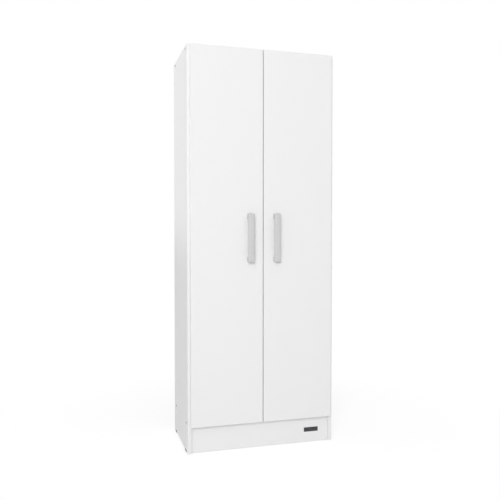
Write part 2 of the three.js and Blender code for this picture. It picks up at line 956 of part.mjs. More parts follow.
// Both doors with their handles and hinges: the right-hand set mirrors the left-hand set
const leftSet = {
  door: leftDoor,
  handle: leftHandle,
  handleScrew: moved(geometryOf(solidOf(handleScrew)), -handleX, 0, 0),
  cup: hingeCup(),
  arm: hingeArm(),
  link: hingeLink(),
};
const rightSet = Object.fromEntries(
  Object.entries(leftSet).map(([piece, geometry]) => [piece, mirrored(geometry)]),
);
for (const [side, set] of Object.entries({ left: leftSet, right: rightSet })) {
  const leaf = addGroup(`${side}_door`);
  addMesh(leaf, `door_${side}`, set.door, melamine);
  addMesh(leaf, `handle_${side}`, set.handle, satinSilver);
  for (const [end, z] of Object.entries(handleHolesZ)) {
    addMesh(leaf, `handle_screw_${side}_${end}`, set.handleScrew, zincPlate, 0, 0, z);
  }
  levels.forEach((level, i) => {
    addMesh(leaf, `hinge_cup_${side}_${level}`, set.cup, zincPlate, 0, 0, hingesZ[i]);
    addMesh(leaf, `hinge_link_${side}_${level}`, set.link, zincPlate, 0, 0, hingesZ[i]);
    addMesh(leaf, `hinge_arm_${side}_${level}`, set.arm, zincPlate, 0, 0, hingesZ[i]);
  });
}

export default cupboard;
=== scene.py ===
from math import cos, pi, radians, sin

import bmesh
import bpy
from mathutils import Matrix, Vector


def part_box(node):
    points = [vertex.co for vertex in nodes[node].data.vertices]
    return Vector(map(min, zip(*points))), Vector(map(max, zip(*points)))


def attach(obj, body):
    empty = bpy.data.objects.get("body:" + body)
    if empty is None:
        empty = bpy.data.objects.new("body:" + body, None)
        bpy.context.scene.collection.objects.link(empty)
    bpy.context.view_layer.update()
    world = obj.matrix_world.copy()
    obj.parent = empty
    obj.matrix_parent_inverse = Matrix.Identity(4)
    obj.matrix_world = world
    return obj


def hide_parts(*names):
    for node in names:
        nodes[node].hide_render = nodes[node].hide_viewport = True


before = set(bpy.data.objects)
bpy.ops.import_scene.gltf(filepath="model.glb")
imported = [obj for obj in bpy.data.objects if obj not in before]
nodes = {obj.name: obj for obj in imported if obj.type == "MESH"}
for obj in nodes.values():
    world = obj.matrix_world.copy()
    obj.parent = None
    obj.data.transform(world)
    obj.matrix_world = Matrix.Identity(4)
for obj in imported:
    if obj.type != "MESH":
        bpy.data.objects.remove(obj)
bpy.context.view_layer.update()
scene = bpy.context.scene

# Lengths are in metres. MM turns a size that a maker gives in millimetres into them.
MM = 0.001

# The photograph's camera, found from the cupboard's corners
CAMERA_PLACE = (-0.6999, -2.4229, 0.8551)
CAMERA_TURN = radians(15.904)
CAMERA_DIP = radians(1.523)
SENSOR_WIDTH = 36.0
FOCAL_LENGTH = 43.305

SIDES = ("left", "right")
LEVELS = ("low", "middle", "high")
ROWS = ("front", "back")
ENDS = ("bottom", "top")


# Shader maths

class Signal:
    """An output socket of a finish, with the operators that shader maths uses."""

    def __init__(self, finish, socket):
        self.finish = finish
        self.socket = socket

    def math(self, operation, *values):
        sockets = dict(enumerate(values))
        return self.finish.node("ShaderNodeMath", {"operation": operation}, sockets)

    def __add__(self, other):
        return self.math("ADD", self, other)

    def __radd__(self, other):
        return self.math("ADD", other, self)

    def __sub__(self, other):
        return self.math("SUBTRACT", self, other)

    def __rsub__(self, other):
        return self.math("SUBTRACT", other, self)

    def __mul__(self, other):
        return self.math("MULTIPLY", self, other)

    def __rmul__(self, other):
        return self.math("MULTIPLY", other, self)

    def __abs__(self):
        return self.math("ABSOLUTE", self)

    def least(self, other):
        return self.math("MINIMUM", self, other)

    def most(self, other):
        return self.math("MAXIMUM", self, other)

    def rises(self, low, high):
        """0 below low and 1 above high, smooth between them."""
        ramp = {"interpolation_type": "SMOOTHSTEP"}
        ends = {"Value": self, "From Min": low, "From Max": high}
        return self.finish.node("ShaderNodeMapRange", ramp, ends)

    def falls(self, low, high):
        return 1 - self.rises(low, high)


class Finish:
    """One procedural material, worked out from a piece's Object coordinates."""

    def __init__(self, name, tree=None):
        if tree is None:
            self.material = bpy.data.materials.new(name)
            self.material.use_nodes = True
            tree = self.material.node_tree
        self.tree = tree
        self.tree.nodes.clear()

    def node(self, kind, settings=None, sockets=None, output=0):
        """Any node: its settings first, then the values or links of its sockets."""
        made = self.tree.nodes.new(kind)
        for key, value in (settings or {}).items():
            setattr(made, key, value)
        for key, value in (sockets or {}).items():
            if isinstance(value, Signal):
                self.tree.links.new(value.socket, made.inputs[key])
            else:
                made.inputs[key].default_value = value
        return Signal(self, made.outputs[output]) if made.outputs else None

    def point(self, stretch=(1, 1, 1)):
        place = self.node("ShaderNodeTexCoord", output="Object")
        return self.node("ShaderNodeMapping", None, {"Vector": place, "Scale": stretch})

    def along(self, axis):
        place = self.node("ShaderNodeTexCoord", output="Object")
        return self.node("ShaderNodeSeparateXYZ", None, {0: place}, output="XYZ".index(axis))

    def noise(self, grain, detail=2.0, stretch=(1, 1, 1)):
        """Cloudy noise from 0 to 1, whose lumps are about one grain across."""
        sockets = {"Vector": self.point(stretch), "Scale": 1 / grain, "Detail": detail}
        return self.node("ShaderNodeTexNoise", None, sockets)

    def cells(self, grain, output):
        """One output of a cell pattern, whose cells are about one grain across."""
        sockets = {"Vector": self.point(), "Scale": 1 / grain}
        return self.node("ShaderNodeTexVoronoi", {"feature": "F1"}, sockets, output)

    def mix(self, share, first, second):
        """Two colours, the second one by a share from 0 to 1."""
        sockets = {0: share, 6: first, 7: second}
        return self.node("ShaderNodeMix", {"data_type": "RGBA"}, sockets, output=2)

    def bump(self, height, depth, strength=1.0):
        sockets = {"Height": height, "Distance": depth, "Strength": strength}
        return self.node("ShaderNodeBump", None, sockets)

    def surface(self, **sockets):
        """Ends the material in one Principled shader, and gives the material back."""
        values = {key.replace("_", " "): value for key, value in sockets.items()}
        shader = self.node("ShaderNodeBsdfPrincipled", None, values)
        self.node("ShaderNodeOutputMaterial", None, {"Surface": shader})
        return self.material


def colour(red, green, blue):
    return (red, green, blue, 1.0)


def grey(level):
    return colour(level, level, level)


# Finishes

MELAMINE_WHITE = grey(0.884)
MELAMINE_SHADE = grey(0.868)
MELAMINE_SPECKLE = grey(0.78)
MELAMINE_CLOUD = 350 * MM
MELAMINE_GLOSS_PATCH = 60 * MM
MELAMINE_PORE = 0.5 * MM
MELAMINE_RELIEF = 0.06 * MM
BAND_WHITE = grey(0.871)
BAND_DEPTH = 1.0 * MM
GLUE_GREY = grey(0.35)
GLUE_LINE = 0.25 * MM
CHIP_PALE = colour(0.62, 0.46, 0.29)
CHIP_DARK = colour(0.36, 0.24, 0.14)
CHIP_PORE = grey(0.12)
CHIP_GRAIN = 2.2 * MM
DUST_GRAIN = 0.6 * MM
FACE_SKIN = 0.05 * MM


def chipboard(finish):
    """Colour and height of sawn particle board."""
    chips = finish.cells(CHIP_GRAIN, "Color")
    dust = finish.noise(DUST_GRAIN)
    pick = finish.node("ShaderNodeSeparateColor", None, {0: chips})
    tan = finish.mix(pick, CHIP_DARK, CHIP_PALE)
    pores = dust.falls(0.3, 0.42)
    return finish.mix(pores * 0.6, tan, CHIP_PORE), pick * 0.5 + dust


def board_finish(node, banded, raw=()):
    """White melamine on a board: its banded edges, and its raw ones, which show the core.
    Sides are written as +X or -Z."""
    finish = Finish(f"melamine_{node}")
    low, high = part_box(node)

    def inward(side):
        axis = side[1]
        i = "XYZ".index(axis)
        if side[0] == "+":
            return high[i] - finish.along(axis)
        return finish.along(axis) - low[i]

    def nearest(sides):
        reach = inward(sides[0])
        for side in sides[1:]:
            reach = reach.least(inward(side))
        return reach

    clouds = finish.noise(MELAMINE_CLOUD, 1.0)
    speckle = finish.noise(MELAMINE_PORE, 1.0)
    base = finish.mix(clouds * 0.5, MELAMINE_WHITE, MELAMINE_SHADE)
    base = finish.mix(speckle.rises(0.55, 0.75) * 0.12, base, MELAMINE_SPECKLE)
    height = speckle * 0.4
    rough = 0.4 + finish.noise(MELAMINE_GLOSS_PATCH, 3.0) * 0.1
    if banded:
        reach = nearest(banded)
        base = finish.mix(reach.falls(BAND_DEPTH, BAND_DEPTH + FACE_SKIN), base, BAND_WHITE)
        joint = abs(reach - BAND_DEPTH).falls(0, GLUE_LINE)
        base = finish.mix(joint * 0.18, base, GLUE_GREY)
        height = height - joint
    if raw:
        bare = nearest(raw).falls(FACE_SKIN, 2 * FACE_SKIN)
        core, core_height = chipboard(finish)
        base = finish.mix(bare, base, core)
        rough = rough + bare * 0.4
        height = height + bare * core_height * 3
    return finish.surface(
        Base_Color=base,
        Roughness=rough,
        Normal=finish.bump(height, MELAMINE_RELIEF, 0.5),
    )


FIBRE_DARK = colour(0.3, 0.185, 0.1)
FIBRE_PALE = colour(0.46, 0.31, 0.18)
FIBRE_BLOTCH = colour(0.25, 0.15, 0.085)
LACQUER_WHITE = grey(0.84)
LACQUER_SHADE = grey(0.81)
FIBRE_GRAIN = 4 * MM
BLOTCH_GRAIN = 120 * MM
SCREEN_GRAIN = 1.6 * MM
HARDBOARD_RELIEF = 0.15 * MM


def hardboard_finish():
    """Thin hardboard: white lacquer inside, bare fibres with a fine screen print outside."""
    finish = Finish("hardboard_back")
    low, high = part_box("back_sheet")
    outside = finish.along("Y").rises(low.y + FACE_SKIN, low.y + 2 * FACE_SKIN)
    fibres = finish.noise(FIBRE_GRAIN, 5.0, (1, 1, 3))
    blotches = finish.noise(BLOTCH_GRAIN, 3.0)
    brown = finish.mix(fibres, FIBRE_DARK, FIBRE_PALE)
    brown = finish.mix(blotches.rises(0.4, 0.7) * 0.35, brown, FIBRE_BLOTCH)
    white = finish.mix(blotches * 0.5, LACQUER_WHITE, LACQUER_SHADE)
    screen = finish.cells(SCREEN_GRAIN, "Distance")
    return finish.surface(
        Base_Color=finish.mix(outside, white, brown),
        Roughness=0.45 + outside * 0.3 + fibres * 0.08,
        Normal=finish.bump(screen * outside + fibres * 0.3, HARDBOARD_RELIEF, 0.6),
    )


SILVER_DARK = colour(0.585, 0.585, 0.592)
SILVER_PALE = colour(0.675, 0.675, 0.68)
FLAKE_GRAIN = 0.35 * MM
SKIN_GRAIN = 1.4 * MM
SKIN_RELIEF = 0.04 * MM
DRIFT_GRAIN = 30 * MM


def silver_handle_finish():
    """Satin silver lacquer on a moulded handle, with fine flakes and a soft orange skin."""
    finish = Finish("satin_silver")
    flakes = finish.cells(FLAKE_GRAIN, "Color")
    pick = finish.node("ShaderNodeSeparateColor", None, {0: flakes})
    skin = finish.noise(SKIN_GRAIN, 2.0)
    drift = finish.noise(DRIFT_GRAIN, 2.0)
    return finish.surface(
        Base_Color=finish.mix(pick * 0.5 + drift * 0.5, SILVER_DARK, SILVER_PALE),
        Metallic=0.35,
        Roughness=0.34 + drift * 0.08 + pick * 0.04,
        Normal=finish.bump(skin, SKIN_RELIEF, 0.5),
    )


NICKEL_PALE = colour(0.72, 0.7, 0.67)
NICKEL_DARK = colour(0.58, 0.565, 0.54)
ZINC_PALE = colour(0.7, 0.71, 0.73)
ZINC_DARK = colour(0.55, 0.56, 0.58)
DRAW_GRAIN = 0.8 * MM
SMUDGE_GRAIN = 9 * MM
FINE_RELIEF = 0.02 * MM


def pressed_steel_finish(name, pale, dark, stretch):
    """Plated steel, with draw marks, faint smudges and duller spots."""
    finish = Finish(name)
    draw = finish.noise(DRAW_GRAIN, 3.0, stretch)
    smudge = finish.noise(SMUDGE_GRAIN, 3.0)
    return finish.surface(
        Base_Color=finish.mix(draw * 0.6 + smudge * 0.4, dark, pale),
        Metallic=1.0,
        Roughness=0.24 + draw * 0.1 + smudge.rises(0.45, 0.7) * 0.14,
        Normal=finish.bump(draw, FINE_RELIEF, 0.5),
    )


OXIDE_DARK = colour(0.02, 0.021, 0.023)
OXIDE_PALE = colour(0.05, 0.051, 0.055)
RUBBED_STEEL = colour(0.16, 0.164, 0.172)
OXIDE_GRAIN = 1.2 * MM
RUB_GRAIN = 2.5 * MM


def dark_steel_finish():
    """Dark oxidised steel of screw and nail heads, with rubbed spots."""
    finish = Finish("dark_steel")
    cloud = finish.noise(OXIDE_GRAIN, 3.0)
    rubbed = finish.noise(RUB_GRAIN, 2.0).rises(0.55, 0.75)
    base = finish.mix(cloud, OXIDE_DARK, OXIDE_PALE)
    return finish.surface(
        Base_Color=finish.mix(rubbed * 0.4, base, RUBBED_STEEL),
        Metallic=0.3,
        Roughness=0.46 + cloud * 0.14,
        Specular_IOR_Level=0.3,
        Normal=finish.bump(cloud, FINE_RELIEF, 0.5),
    )


PIN_SHADE = grey(0.78)
PIN_WHITE = grey(0.86)
PIN_CLOUD = 3 * MM
PIN_PORE = 0.5 * MM


def pin_plastic_finish():
    """Pale moulded plastic with a fine skin."""
    finish = Finish("pin_plastic")
    cloud = finish.noise(PIN_CLOUD, 2.0)
    return finish.surface(
        Base_Color=finish.mix(cloud, PIN_SHADE, PIN_WHITE),
        Roughness=0.3 + cloud * 0.12,
        Normal=finish.bump(finish.noise(PIN_PORE), FINE_RELIEF, 0.5),
    )


GLIDE_BLACK = grey(0.004)
SCUFF_GREY = grey(0.06)
SCUFF_HEIGHTS = (0.05 * MM, 0.3 * MM)
SCRATCH_GRAIN = 0.5 * MM
GLIDE_RELIEF = 0.03 * MM


def glide_plastic_finish():
    """Black moulded plastic, scuffed grey where it slides on the floor."""
    finish = Finish("glide_plastic")
    scuff = finish.along("Z").falls(*SCUFF_HEIGHTS)
    scratches = finish.noise(SCRATCH_GRAIN, 4.0, (1, 6, 1))
    return finish.surface(
        Base_Color=finish.mix(scuff * scratches * 0.8, GLIDE_BLACK, SCUFF_GREY),
        Roughness=0.6 + scuff * 0.2 + scratches * 0.08,
        Specular_IOR_Level=0.08,
        Normal=finish.bump(scratches, GLIDE_RELIEF, 0.6),
    )


FOIL_DARK = colour(0.035, 0.036, 0.038)
FOIL_PALE = colour(0.06, 0.061, 0.064)
FOIL_GRAIN = 0.5 * MM


def plate_finish():
    """Dark satin foil on the bare plate, its grain running along the plinth."""
    finish = Finish("plate_foil")
    grain = finish.noise(FOIL_GRAIN, 3.0, (0.05, 1, 1))
    return finish.surface(
        Base_Color=finish.mix(grain, FOIL_DARK, FOIL_PALE),
        Metallic=0.3,
        Roughness=0.36 + grain * 0.12,
        Normal=finish.bump(grain, FINE_RELIEF, 0.5),
    )


# Shaping

ROUNDING_STEPS = 8
WELD_REACH = 0.001 * MM
MERGE_REACH = 0.002 * MM
FLAT_BELOW = radians(0.5)
SMOOTH_BELOW = radians(32)
SOFTENED_ABOVE = radians(28)


def facing(axis):
    """A matrix that turns the Z axis onto the named one, with its sign."""
    way = Vector([float(name == axis[1]) for name in "XYZ"])
    if axis[0] == "-":
        way.negate()
    return way.to_track_quat("Z", "Y").to_matrix().to_4x4()


def spun(profile, steps):
    """A closed solid turned about Z from a profile of [radius, height] points that starts and
    ends on the axis."""
    bm = bmesh.new()
    verts = [bm.verts.new((radius, 0, height)) for radius, height in profile]
    edges = [bm.edges.new(pair) for pair in zip(verts, verts[1:])]
    bmesh.ops.spin(
        bm,
        geom=verts + edges,
        cent=(0, 0, 0),
        axis=(0, 0, 1),
        angle=2 * pi,
        steps=steps,
        use_merge=True,
    )
    bmesh.ops.remove_doubles(bm, verts=bm.verts, dist=WELD_REACH)
    bmesh.ops.recalc_face_normals(bm, faces=bm.faces)
    return bm


def bevelled(bm, edges, width, segments=2):
    bmesh.ops.bevel(
        bm,
        geom=edges,
        offset=width,
        offset_type="OFFSET",
        segments=segments,
        profile=0.5,
        affect="EDGES",
        material=-1,
        clamp_overlap=True,
    )
    return bm


def block(low, high):
    """A plain block between two corners."""
    bm = bmesh.new()
    bmesh.ops.create_cube(bm, size=1.0)
    low, high = Vector(low), Vector(high)
    size = Matrix.Diagonal((*(high - low), 1))
    bmesh.ops.transform(bm, matrix=Matrix.Translation((low + high) / 2) @ size, verts=bm.verts)
    return bm


def rounded(bm, axis, radius):
    """Rounds a block's four edges along an axis."""
    i = "XYZ".index(axis)
    edges = [
        edge
        for edge in bm.edges
        if abs(edge.verts[0].co[i] - edge.verts[1].co[i]) > WELD_REACH
    ]
    return bevelled(bm, edges, radius, ROUNDING_STEPS)


def mesh_of(bm, name):
    mesh = bpy.data.meshes.new(name)
    bm.to_mesh(mesh)
    bm.free()
    return mesh


def show(mesh, name, material, body, stands_for=None, crease=SMOOTH_BELOW):
    """Links a finished mesh as a piece that rides on a body."""
    mesh.name = name
    mesh.materials.clear()
    mesh.materials.append(material)
    mesh.shade_smooth()
    mesh.set_sharp_from_angle(angle=crease)
    piece = bpy.data.objects.new(name, mesh)
    scene.collection.objects.link(piece)
    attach(piece, body)
    if stands_for:
        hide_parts(stands_for)
    return piece


def carved(body, tool, operation="DIFFERENCE"):
    """The first solid less the second one, or what the two share."""
    holder = bpy.data.objects.new("carving", mesh_of(body, "carving"))
    cutter = bpy.data.objects.new("cutter", mesh_of(tool, "cutter"))
    for helper in (holder, cutter):
        scene.collection.objects.link(helper)
    cut = holder.modifiers.new("cut", "BOOLEAN")
    cut.operation = operation
    cut.object = cutter
    bpy.context.view_layer.update()
    shape = holder.evaluated_get(bpy.context.evaluated_depsgraph_get())
    mesh = bpy.data.meshes.new_from_object(shape)
    for helper in (holder, cutter):
        bpy.data.objects.remove(helper)
    return mesh


def placed(mesh, place, turn=Matrix.Identity(4)):
    copy = mesh.copy()
    copy.transform(Matrix.Translation(place) @ turn)
    return copy


def merged(mesh):
    """A mesh as an editable solid, its triangles merged into flat faces."""
    bm = bmesh.new()
    bm.from_mesh(mesh)
    bmesh.ops.remove_doubles(bm, verts=bm.verts, dist=MERGE_REACH)
    bmesh.ops.dissolve_limit(bm, angle_limit=FLAT_BELOW, verts=bm.verts, edges=bm.edges)
    return bm


def softened(mesh, width):
    """A copy of a mesh with its sharp edges rounded."""
    bm = merged(mesh)
    edges = [edge for edge in bm.edges if edge.calc_face_angle(0.0) > SOFTENED_ABOVE]
    return mesh_of(bevelled(bm, edges, width), mesh.name)


# Camera

def set_camera():
    data = bpy.data.cameras.new("camera")
    data.sensor_width = SENSOR_WIDTH
    data.lens = FOCAL_LENGTH
    camera = bpy.data.objects.new("camera", data)
    camera.location = CAMERA_PLACE
    camera.rotation_euler = (pi / 2 - CAMERA_DIP, 0, -CAMERA_TURN)
    scene.collection.objects.link(camera)
    scene.camera = camera


# Boards

BOARD_EDGES = {
    "side_panel_left": (["-Y", "+Z"], ["+Y", "-Z"]),
    "side_panel_right": (["-Y", "+Z"], ["+Y", "-Z"]),
    "top_panel": (["-Y"], ["+Y"]),
    "bottom_panel": (["-Y"], ["+Y"]),
    "divider": (["-Y"], ["+Y"]),
    "plinth": ([], ["-Z"]),
    "shelf_low": (["-Y"], ["+Y", "-X", "+X"]),
    "shelf_middle": (["-Y"], ["+Y", "-X", "+X"]),
    "shelf_high": (["-Y"], ["+Y", "-X", "+X"]),
    "door_left": (["-X", "+X", "-Z", "+Z"], []),
    "door_right": (["-X", "+X", "-Z", "+Z"], []),
}


def dress_boards():
    for node, (banded, raw) in BOARD_EDGES.items():
        nodes[node].data.materials.clear()
        nodes[node].data.materials.append(board_finish(node, banded, raw))


# Handles

HANDLE_HOLE_SPACING = 160 * MM
HANDLE_POST_LENGTH = 21 * MM
HANDLE_CORNER_RADIUS = 6 * MM
HANDLE_END_RADIUS = 9 * MM
HANDLE_CROWN = 3.5 * MM
HANDLE_CROWN_STEPS = 128
HANDLE_SOFTENING = 0.9 * MM
FINGER_DEPTH = 16 * MM
FINGER_GAP_RADIUS = 6 * MM
PILOT_RADIUS = 2.1 * MM
PILOT_DEPTH = 10.1 * MM
PILOT_STEPS = 24
CUT_OVERRUN = 1 * MM


def bow_handle(low, high):
    """A moulded bow on two posts: round ends, a crowned front, a finger gap with fillets and
    a pilot hole for each screw."""
    middle = (low + high) / 2
    left, right = low.x - CUT_OVERRUN, high.x + CUT_OVERRUN
    side_view = rounded(
        block((left, low.y, low.z), (right, high.y + 2 * HANDLE_END_RADIUS, high.z)),
        "X",
        HANDLE_END_RADIUS,
    )
    front_view = rounded(
        block((low.x, low.y - CUT_OVERRUN, low.z), high),
        "Y",
        HANDLE_CORNER_RADIUS,
    )
    half_width = (high.x - low.x) / 2
    crown_radius = (half_width ** 2 + HANDLE_CROWN ** 2) / (2 * HANDLE_CROWN)
    crown_place = Matrix.Translation((middle.x, low.y + crown_radius, middle.z))
    crown = bmesh.new()
    bmesh.ops.create_cone(
        crown,
        cap_ends=True,
        segments=HANDLE_CROWN_STEPS,
        radius1=crown_radius,
        radius2=crown_radius,
        depth=high.z - low.z + 2 * CUT_OVERRUN,
        matrix=crown_place @ Matrix.Rotation(pi / HANDLE_CROWN_STEPS, 4, "Z"),
    )
    hollow = rounded(
        block(
            (left, high.y - FINGER_DEPTH, low.z + HANDLE_POST_LENGTH),
            (right, high.y + FINGER_DEPTH, high.z - HANDLE_POST_LENGTH),
        ),
        "X",
        FINGER_GAP_RADIUS,
    )
    for up in (-1, 1):
        hole = (middle.x, high.y, middle.z + up * HANDLE_HOLE_SPACING / 2)
        bmesh.ops.create_cone(
            hollow,
            cap_ends=True,
            segments=PILOT_STEPS,
            radius1=PILOT_RADIUS,
            radius2=PILOT_RADIUS,
            depth=2 * PILOT_DEPTH,
            matrix=Matrix.Translation(hole) @ facing("+Y"),
        )
    outside = merged(carved(side_view, front_view, "INTERSECT"))
    bow = merged(carved(outside, crown, "INTERSECT"))
    return softened(carved(bow, hollow), HANDLE_SOFTENING)


def make_handles(silver):
    for side in SIDES:
        node = f"handle_{side}"
        mesh = bow_handle(*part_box(node))
        show(mesh, f"bow_handle_{side}", silver, f"{side}_door", node)


# Concealed hinges

HINGE_SOFTENING = {"cup": 0.3 * MM, "arm": 0.35 * MM, "link": 0.3 * MM}


def make_hinges(nickel):
    for side in SIDES:
        bodies = {"cup": f"{side}_door", "arm": "cabinet", "link": f"{side}_hinge_links"}
        for level in LEVELS:
            for part, body in bodies.items():
                node = f"hinge_{part}_{side}_{level}"
                mesh = softened(nodes[node].data, HINGE_SOFTENING[part])
                show(mesh, f"{part}_{side}_{level}", nickel, body, node)


# Screws

# Shares of a head's radius or height
RECESS_REACH = 0.62
RECESS_WIDTH = 0.2
RECESS_DEPTH = 0.55
HEAD_RIM = 0.25

RECESS_TAPER = 0.45
HEAD_STEPS = 24
DOME_STEPS = 5


def recess_blade(turn, reach, width, depth, top):
    """A tapering blade that cuts one slot of a cross recess, down from the top of a head."""
    bm = block((-reach, -width / 2, top - depth), (reach, width / 2, top + depth))
    for vert in bm.verts:
        if vert.co.z < top:
            vert.co.x *= RECESS_TAPER
            vert.co.y *= RECESS_TAPER
    bmesh.ops.rotate(bm, matrix=Matrix.Rotation(turn, 3, "Z"), verts=bm.verts)
    return bm


def recessed_screw(radius, height):
    """A domed screw head with a cross recess, standing on the XY plane. The recess is cut
    one blade at a time, because a cut with both of them leaves nothing."""
    rim = HEAD_RIM * height
    turns = [i * pi / (2 * DOME_STEPS) for i in range(DOME_STEPS)]
    dome = [(radius * cos(turn), rim + (height - rim) * sin(turn)) for turn in turns]
    head = spun([(0, 0), (radius, 0), *dome, (0, height)], HEAD_STEPS)
    reach, width, depth = RECESS_REACH * radius, RECESS_WIDTH * radius, RECESS_DEPTH * height
    slotted = carved(head, recess_blade(0, reach, width, depth, height))
    return carved(merged(slotted), recess_blade(pi / 2, reach, width, depth, height))


HANDLE_SCREW_SOFTENING = 0.3 * MM


def make_handle_screws(zinc):
    """Pan heads on the doors' back faces, each with its shank through the door."""
    for side in SIDES:
        for end in ENDS:
            node = f"handle_screw_{side}_{end}"
            mesh = softened(nodes[node].data, HANDLE_SCREW_SOFTENING)
            show(mesh, f"handle_bolt_{side}_{end}", zinc, f"{side}_door", node)


CARCASS_HEAD_RADIUS = 5 * MM
CARCASS_HEAD_BEVEL = 0.25 * MM
CARCASS_HEAD_THICKNESS = 2 * MM
CARCASS_COLLAR_RADIUS = 3.5 * MM
CARCASS_COLLAR_END = 15 * MM
CARCASS_SHANK_RADIUS = 2.75 * MM
CARCASS_SHANK_END = 47 * MM
CARCASS_SCREW_LENGTH = 50 * MM
CARCASS_SCREW_STEPS = 32
SOCKET_RADIUS = 2.3 * MM
SOCKET_DEPTH = 2.5 * MM


def carcass_screw():
    """A screw with a flat head, a hexagon socket, a collar and a plain shank, along +Z from
    its head."""
    cone_end = CARCASS_HEAD_THICKNESS + CARCASS_HEAD_RADIUS - CARCASS_COLLAR_RADIUS
    bm = spun(
        [
            (0, 0),
            (CARCASS_HEAD_RADIUS - CARCASS_HEAD_BEVEL, 0),
            (CARCASS_HEAD_RADIUS, CARCASS_HEAD_BEVEL),
            (CARCASS_HEAD_RADIUS, CARCASS_HEAD_THICKNESS),
            (CARCASS_COLLAR_RADIUS, cone_end),
            (CARCASS_COLLAR_RADIUS, CARCASS_COLLAR_END),
            (CARCASS_SHANK_RADIUS, CARCASS_COLLAR_END),
            (CARCASS_SHANK_RADIUS, CARCASS_SHANK_END),
            (0, CARCASS_SCREW_LENGTH),
        ],
        CARCASS_SCREW_STEPS,
    )
    tool = bmesh.new()
    bmesh.ops.create_cone(
        tool,
        cap_ends=True,
        segments=6,
        radius1=SOCKET_RADIUS,
        radius2=SOCKET_RADIUS,
        depth=2 * SOCKET_DEPTH,
    )
    return carved(bm, tool)


def make_carcass_screws(steel):
    screw = carcass_screw()
    for side in SIDES:
        for end in ENDS:
            for row in ROWS:
                node = f"assembly_screw_{side}_{end}_{row}"
                low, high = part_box(node)
                place = (low + high) / 2
                place.x = low.x if side == "left" else high.x
                turn = facing("+X" if side == "left" else "-X")
                mesh = placed(screw, place, turn)
                name = f"carcass_screw_{side}_{end}_{row}"
                show(mesh, name, steel, "cabinet", node)


# Glides and shelf pins

GLIDE_SOFTENING = 0.6 * MM
PIN_SOFTENING = 0.35 * MM


def make_glides(black):
    """Moulded blocks with soft edges, nailed up into the side panels."""
    for side in SIDES:
        for row in ROWS:
            node = f"glide_{side}_{row}"
            mesh = softened(nodes[node].data, GLIDE_SOFTENING)
            show(mesh, f"foot_{side}_{row}", black, "cabinet", node)


def make_shelf_pins(plastic):
    for level in LEVELS:
        for where in ("inner", "outer"):
            for row in ROWS:
                node = f"shelf_pin_{level}_{where}_{row}"
                mesh = softened(nodes[node].data, PIN_SOFTENING)
                name = f"shelf_support_{level}_{where}_{row}"
                show(mesh, name, plastic, "cabinet", node)


# Small fasteners

# Each head's radius and height
EAR_HEAD = (3.6 * MM, 1.3 * MM)
WING_HEAD = (4 * MM, 1.6 * MM)
ARM_HEAD = (3 * MM, 1.1 * MM)

EAR_SPACING = 45 * MM
EAR_SINKING = 0.3 * MM
WING_HOLE_SPACING = 32 * MM
WING_HOLE_SETBACK = 37 * MM
WING_THICKNESS = 1.8 * MM
ARM_SINKING = 0.1 * MM
ADJUSTING_SETBACKS = {"side": 22 * MM, "depth": 42 * MM}


def make_hinge_screws(zinc):
    """Two screws in each cup's ears, two in each mounting plate's wings and two in each
    arm."""
    ear_head = recessed_screw(*EAR_HEAD)
    wing_head = recessed_screw(*WING_HEAD)
    arm_head = recessed_screw(*ARM_HEAD)
    carcass_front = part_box("side_panel_left")[0].y
    for side in SIDES:
        inward = 1 if side == "left" else -1
        away = facing("+X" if side == "left" else "-X")
        for level in LEVELS:
            cup_low, cup_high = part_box(f"hinge_cup_{side}_{level}")
            cup_x = (cup_low.x + cup_high.x) / 2
            middle = (cup_low.z + cup_high.z) / 2
            arm_low, arm_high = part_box(f"hinge_arm_{side}_{level}")
            wall = arm_low.x if side == "left" else arm_high.x
            crown = arm_high.x if side == "left" else arm_low.x
            for end, way in zip(ENDS, (-1, 1)):
                place = (cup_x, cup_high.y - EAR_SINKING, middle + way * EAR_SPACING / 2)
                mesh = placed(ear_head, place, facing("+Y"))
                name = f"ear_screw_{side}_{level}_{end}"
                show(mesh, name, zinc, f"{side}_door")
                place = (
                    wall + inward * WING_THICKNESS,
                    carcass_front + WING_HOLE_SETBACK,
                    middle + way * WING_HOLE_SPACING / 2,
                )
                mesh = placed(wing_head, place, away)
                name = f"plate_screw_{side}_{level}_{end}"
                show(mesh, name, zinc, "cabinet")
            for spot, setback in ADJUSTING_SETBACKS.items():
                place = (crown - inward * ARM_SINKING, carcass_front + setback, middle)
                mesh = placed(arm_head, place, away)
                name = f"adjusting_screw_{side}_{level}_{spot}"
                show(mesh, name, zinc, "cabinet")


NAIL_HEAD_RADIUS = 2.4 * MM
NAIL_HEAD_HEIGHT = 0.5 * MM
NAIL_DIMPLE_RADIUS = 3.2 * MM
NAIL_DIMPLE_DEPTH = 0.6 * MM
NAIL_INSET = 6 * MM
NAIL_ROWS = 11
NAIL_COLUMNS = 5
NAIL_STEPS = 16
DIMPLE_CREASE = radians(5)


def nail_spots():
    """Places of the nails round the back sheet and up its middle, as X and Z."""
    low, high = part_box("back_sheet")
    left, right = low.x + NAIL_INSET, high.x - NAIL_INSET
    bottom, top = low.z + NAIL_INSET, high.z - NAIL_INSET
    spots = []
    for i in range(NAIL_ROWS):
        z = bottom + (top - bottom) * i / (NAIL_ROWS - 1)
        spots += [(left, z), (right, z)]
        if 0 < i < NAIL_ROWS - 1:
            spots.append((0, z))
    for i in range(1, NAIL_COLUMNS - 1):
        x = left + (right - left) * i / (NAIL_COLUMNS - 1)
        spots += [(x, bottom), (x, top)]
    return spots


